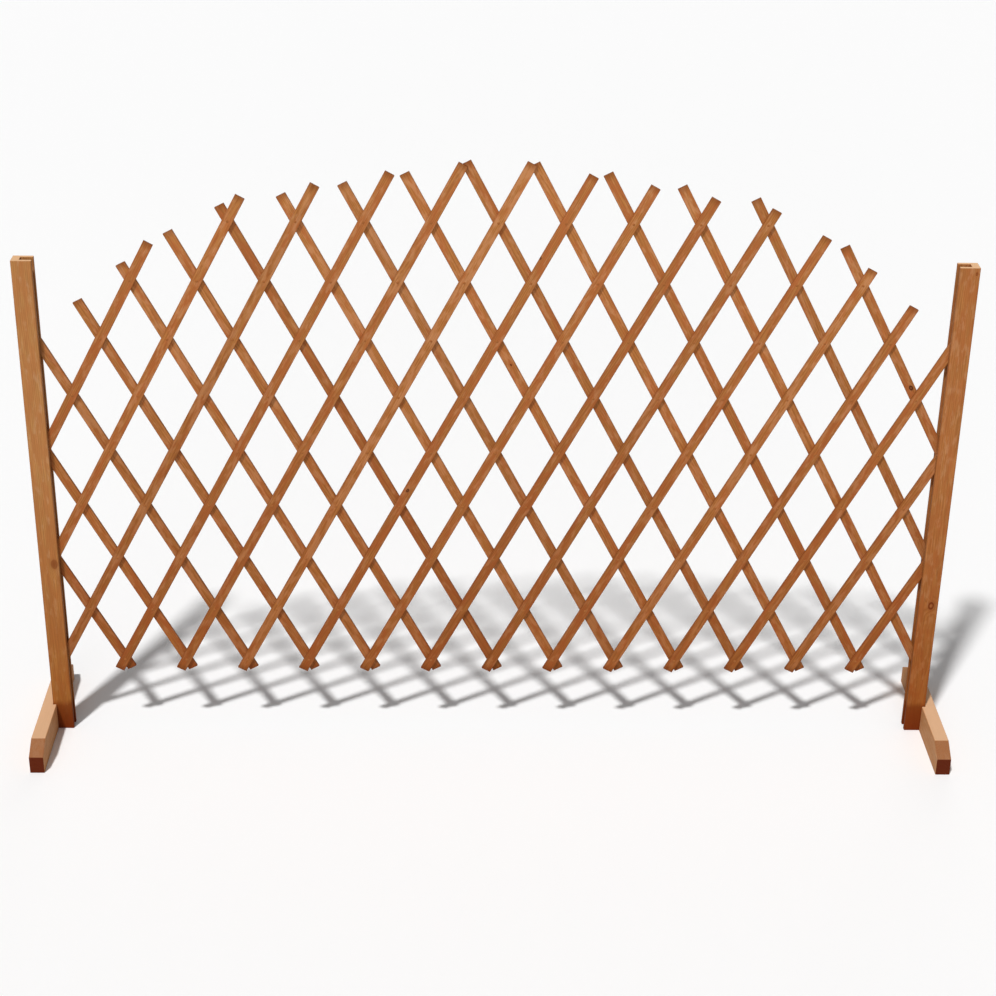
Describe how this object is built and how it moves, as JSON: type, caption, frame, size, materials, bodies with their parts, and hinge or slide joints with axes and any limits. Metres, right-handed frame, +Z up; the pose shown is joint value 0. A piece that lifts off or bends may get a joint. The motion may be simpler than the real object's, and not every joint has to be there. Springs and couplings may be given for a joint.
{
  "type": "trellis fence panel",
  "caption": "Free-standing expanding trellis fence of crossed wooden slats with an arched top, held in two grooved posts on cross feet; it folds sideways.",
  "frame": {"origin": "on the floor, midway between the two posts and midway through the panel", "axes": "+X along the fence from the left post to the right post as seen from the front, +Y from the front slats to the back slats, +Z up"},
  "size_m": [1.8068, 0.35, 1.1911],
  "materials": {
    "stained_slats": "orange-brown wood stain on sawn softwood slats, clinched nails in them",
    "stained_posts": "orange-brown wood stain on planed softwood",
    "stained_feet": "orange-brown wood stain on planed softwood, thinner and paler on top",
    "zinc_screws": "zinc-plated countersunk screws"
  },
  "bodies": {
    "left_post": {"left_post": "stained_posts", "left_foot": "stained_feet", "left_foot_screw_1": "zinc_screws", "left_foot_screw_2": "zinc_screws", "left_pivot_screw": "zinc_screws"},
    "front_slat_01": {"front_slat_01": "stained_slats"},
    "front_slat_02": {"front_slat_02": "stained_slats"},
    "front_slat_03": {"front_slat_03": "stained_slats"},
    "front_slat_04": {"front_slat_04": "stained_slats"},
    "front_slat_05": {"front_slat_05": "stained_slats"},
    "front_slat_06": {"front_slat_06": "stained_slats"},
    "front_slat_07": {"front_slat_07": "stained_slats"},
    "front_slat_08": {"front_slat_08": "stained_slats"},
    "front_slat_09": {"front_slat_09": "stained_slats"},
    "front_slat_10": {"front_slat_10": "stained_slats"},
    "front_slat_11": {"front_slat_11": "stained_slats"},
    "front_slat_12": {"front_slat_12": "stained_slats"},
    "front_slat_13": {"front_slat_13": "stained_slats"},
    "front_slat_14": {"front_slat_14": "stained_slats"},
    "front_slat_15": {"front_slat_15": "stained_slats"},
    "front_slat_16": {"front_slat_16": "stained_slats"},
    "back_slat_01": {"back_slat_01": "stained_slats"},
    "back_slat_02": {"back_slat_02": "stained_slats"},
    "back_slat_03": {"back_slat_03": "stained_slats"},
    "back_slat_04": {"back_slat_04": "stained_slats"},
    "back_slat_05": {"back_slat_05": "stained_slats"},
    "back_slat_06": {"back_slat_06": "stained_slats"},
    "back_slat_07": {"back_slat_07": "stained_slats"},
    "back_slat_08": {"back_slat_08": "stained_slats"},
    "back_slat_09": {"back_slat_09": "stained_slats"},
    "back_slat_10": {"back_slat_10": "stained_slats"},
    "back_slat_11": {"back_slat_11": "stained_slats"},
    "back_slat_12": {"back_slat_12": "stained_slats"},
    "back_slat_13": {"back_slat_13": "stained_slats"},
    "back_slat_14": {"back_slat_14": "stained_slats"},
    "back_slat_15": {"back_slat_15": "stained_slats"},
    "back_slat_16": {"back_slat_16": "stained_slats"},
    "right_post": {"right_post": "stained_posts", "right_foot": "stained_feet", "right_foot_screw_1": "zinc_screws", "right_foot_screw_2": "zinc_screws", "right_pivot_screw": "zinc_screws"}
  },
  "joints": [
    {"name": "fold", "type": "hinge", "parent": "left_post", "child": "front_slat_03", "pos_m": [-0.85444, 0, 0.157], "axis": [0, 1, 0], "range_deg": [-23, 6]},
    {"name": "back_slat_01_turn", "type": "hinge", "parent": "front_slat_03", "child": "back_slat_01", "pos_m": [-0.79341, 0, 0.27178], "axis": [0, 1, 0], "range_deg": [-12, 46]},
    {"name": "back_slat_02_turn", "type": "hinge", "parent": "front_slat_03", "child": "back_slat_02", "pos_m": [-0.73238, 0, 0.38657], "axis": [0, 1, 0], "range_deg": [-12, 46]},
    {"name": "back_slat_03_turn", "type": "hinge", "parent": "front_slat_03", "child": "back_slat_03", "pos_m": [-0.67134, 0, 0.50135], "axis": [0, 1, 0], "range_deg": [-12, 46]},
    {"name": "back_slat_04_turn", "type": "hinge", "parent": "front_slat_03", "child": "back_slat_04", "pos_m": [-0.61031, 0, 0.61613], "axis": [0, 1, 0], "range_deg": [-12, 46]},
    {"name": "back_slat_05_turn", "type": "hinge", "parent": "front_slat_03", "child": "back_slat_05", "pos_m": [-0.54928, 0, 0.73092], "axis": [0, 1, 0], "range_deg": [-12, 46]},
    {"name": "back_slat_06_turn", "type": "hinge", "parent": "front_slat_03", "child": "back_slat_06", "pos_m": [-0.48825, 0, 0.8457], "axis": [0, 1, 0], "range_deg": [-12, 46]},
    {"name": "back_slat_07_turn", "type": "hinge", "parent": "front_slat_03", "child": "back_slat_07", "pos_m": [-0.42722, 0, 0.96048], "axis": [0, 1, 0], "range_deg": [-12, 46]},
    {"name": "back_slat_08_turn", "type": "hinge", "parent": "front_slat_03", "child": "back_slat_08", "pos_m": [-0.36619, 0, 1.07526], "axis": [0, 1, 0], "range_deg": [-12, 46]},
    {"name": "front_slat_04_turn", "type": "hinge", "parent": "back_slat_08", "child": "front_slat_04", "pos_m": [-0.30516, 0, 0.96048], "axis": [0, 1, 0], "range_deg": [-46, 12]},
    {"name": "front_slat_05_turn", "type": "hinge", "parent": "back_slat_08", "child": "front_slat_05", "pos_m": [-0.24413, 0, 0.8457], "axis": [0, 1, 0], "range_deg": [-46, 12]},
    {"name": "front_slat_06_turn", "type": "hinge", "parent": "back_slat_08", "child": "front_slat_06", "pos_m": [-0.18309, 0, 0.73092], "axis": [0, 1, 0], "range_deg": [-46, 12]},
    {"name": "front_slat_07_turn", "type": "hinge", "parent": "back_slat_08", "child": "front_slat_07", "pos_m": [-0.12206, 0, 0.61613], "axis": [0, 1, 0], "range_deg": [-46, 12]},
    {"name": "front_slat_08_turn", "type": "hinge", "parent": "back_slat_08", "child": "front_slat_08", "pos_m": [-0.06103, 0, 0.50135], "axis": [0, 1, 0], "range_deg": [-46, 12]},
    {"name": "front_slat_09_turn", "type": "hinge", "parent": "back_slat_08", "child": "front_slat_09", "pos_m": [0, 0, 0.38657], "axis": [0, 1, 0], "range_deg": [-46, 12]},
    {"name": "front_slat_10_turn", "type": "hinge", "parent": "back_slat_08", "child": "front_slat_10", "pos_m": [0.06103, 0, 0.27178], "axis": [0, 1, 0], "range_deg": [-46, 12]},
    {"name": "front_slat_11_turn", "type": "hinge", "parent": "back_slat_08", "child": "front_slat_11", "pos_m": [0.12206, 0, 0.157], "axis": [0, 1, 0], "range_deg": [-46, 12]},
    {"name": "front_slat_02_turn", "type": "hinge", "parent": "back_slat_04", "child": "front_slat_02", "pos_m": [-0.67134, 0, 0.73092], "axis": [0, 1, 0], "range_deg": [-46, 12]},
    {"name": "front_slat_01_turn", "type": "hinge", "parent": "back_slat_04", "child": "front_slat_01", "pos_m": [-0.73238, 0, 0.8457], "axis": [0, 1, 0], "range_deg": [-46, 12]},
    {"name": "back_slat_09_turn", "type": "hinge", "parent": "front_slat_11", "child": "back_slat_09", "pos_m": [0.18309, 0, 0.27178], "axis": [0, 1, 0], "range_deg": [-12, 46]},
    {"name": "back_slat_10_turn", "type": "hinge", "parent": "front_slat_11", "child": "back_slat_10", "pos_m": [0.24413, 0, 0.38657], "axis": [0, 1, 0], "range_deg": [-12, 46]},
    {"name": "back_slat_11_turn", "type": "hinge", "parent": "front_slat_11", "child": "back_slat_11", "pos_m": [0.30516, 0, 0.50135], "axis": [0, 1, 0], "range_deg": [-12, 46]},
    {"name": "back_slat_12_turn", "type": "hinge", "parent": "front_slat_11", "child": "back_slat_12", "pos_m": [0.36619, 0, 0.61613], "axis": [0, 1, 0], "range_deg": [-12, 46]},
    {"name": "back_slat_13_turn", "type": "hinge", "parent": "front_slat_11", "child": "back_slat_13", "pos_m": [0.42722, 0, 0.73092], "axis": [0, 1, 0], "range_deg": [-12, 46]},
    {"name": "back_slat_14_turn", "type": "hinge", "parent": "front_slat_11", "child": "back_slat_14", "pos_m": [0.48825, 0, 0.8457], "axis": [0, 1, 0], "range_deg": [-12, 46]},
    {"name": "back_slat_15_turn", "type": "hinge", "parent": "front_slat_11", "child": "back_slat_15", "pos_m": [0.54928, 0, 0.96048], "axis": [0, 1, 0], "range_deg": [-12, 46]},
    {"name": "front_slat_12_turn", "type": "hinge", "parent": "back_slat_14", "child": "front_slat_12", "pos_m": [0.54928, 0, 0.73092], "axis": [0, 1, 0], "range_deg": [-46, 12]},
    {"name": "front_slat_13_turn", "type": "hinge", "parent": "back_slat_14", "child": "front_slat_13", "pos_m": [0.61031, 0, 0.61613], "axis": [0, 1, 0], "range_deg": [-46, 12]},
    {"name": "front_slat_14_turn", "type": "hinge", "parent": "back_slat_14", "child": "front_slat_14", "pos_m": [0.67134, 0, 0.50135], "axis": [0, 1, 0], "range_deg": [-46, 12]},
    {"name": "front_slat_15_turn", "type": "hinge", "parent": "back_slat_14", "child": "front_slat_15", "pos_m": [0.73238, 0, 0.38657], "axis": [0, 1, 0], "range_deg": [-46, 12]},
    {"name": "front_slat_16_turn", "type": "hinge", "parent": "back_slat_14", "child": "front_slat_16", "pos_m": [0.79341, 0, 0.27178], "axis": [0, 1, 0], "range_deg": [-46, 12]},
    {"name": "back_slat_16_turn", "type": "hinge", "parent": "front_slat_13", "child": "back_slat_16", "pos_m": [0.73238, 0, 0.8457], "axis": [0, 1, 0], "range_deg": [-12, 46]},
    {"name": "right_post_turn", "type": "hinge", "parent": "back_slat_14", "child": "right_post", "pos_m": [0.85444, 0, 0.157], "axis": [0, 1, 0], "range_deg": [-23, 6]}
  ],
  "couplings": [
    {"joint": "back_slat_01_turn", "follows": "fold", "ratio": -2},
    {"joint": "back_slat_02_turn", "follows": "fold", "ratio": -2},
    {"joint": "back_slat_03_turn", "follows": "fold", "ratio": -2},
    {"joint": "back_slat_04_turn", "follows": "fold", "ratio": -2},
    {"joint": "back_slat_05_turn", "follows": "fold", "ratio": -2},
    {"joint": "back_slat_06_turn", "follows": "fold", "ratio": -2},
    {"joint": "back_slat_07_turn", "follows": "fold", "ratio": -2},
    {"joint": "back_slat_08_turn", "follows": "fold", "ratio": -2},
    {"joint": "front_slat_04_turn", "follows": "fold", "ratio": 2},
    {"joint": "front_slat_05_turn", "follows": "fold", "ratio": 2},
    {"joint": "front_slat_06_turn", "follows": "fold", "ratio": 2},
    {"joint": "front_slat_07_turn", "follows": "fold", "ratio": 2},
    {"joint": "front_slat_08_turn", "follows": "fold", "ratio": 2},
    {"joint": "front_slat_09_turn", "follows": "fold", "ratio": 2},
    {"joint": "front_slat_10_turn", "follows": "fold", "ratio": 2},
    {"joint": "front_slat_11_turn", "follows": "fold", "ratio": 2},
    {"joint": "front_slat_02_turn", "follows": "fold", "ratio": 2},
    {"joint": "front_slat_01_turn", "follows": "fold", "ratio": 2},
    {"joint": "back_slat_09_turn", "follows": "fold", "ratio": -2},
    {"joint": "back_slat_10_turn", "follows": "fold", "ratio": -2},
    {"joint": "back_slat_11_turn", "follows": "fold", "ratio": -2},
    {"joint": "back_slat_12_turn", "follows": "fold", "ratio": -2},
    {"joint": "back_slat_13_turn", "follows": "fold", "ratio": -2},
    {"joint": "back_slat_14_turn", "follows": "fold", "ratio": -2},
    {"joint": "back_slat_15_turn", "follows": "fold", "ratio": -2},
    {"joint": "front_slat_12_turn", "follows": "fold", "ratio": 2},
    {"joint": "front_slat_13_turn", "follows": "fold", "ratio": 2},
    {"joint": "front_slat_14_turn", "follows": "fold", "ratio": 2},
    {"joint": "front_slat_15_turn", "follows": "fold", "ratio": 2},
    {"joint": "front_slat_16_turn", "follows": "fold", "ratio": 2},
    {"joint": "back_slat_16_turn", "follows": "fold", "ratio": -2},
    {"joint": "right_post_turn", "follows": "fold", "ratio": 1}
  ]
}
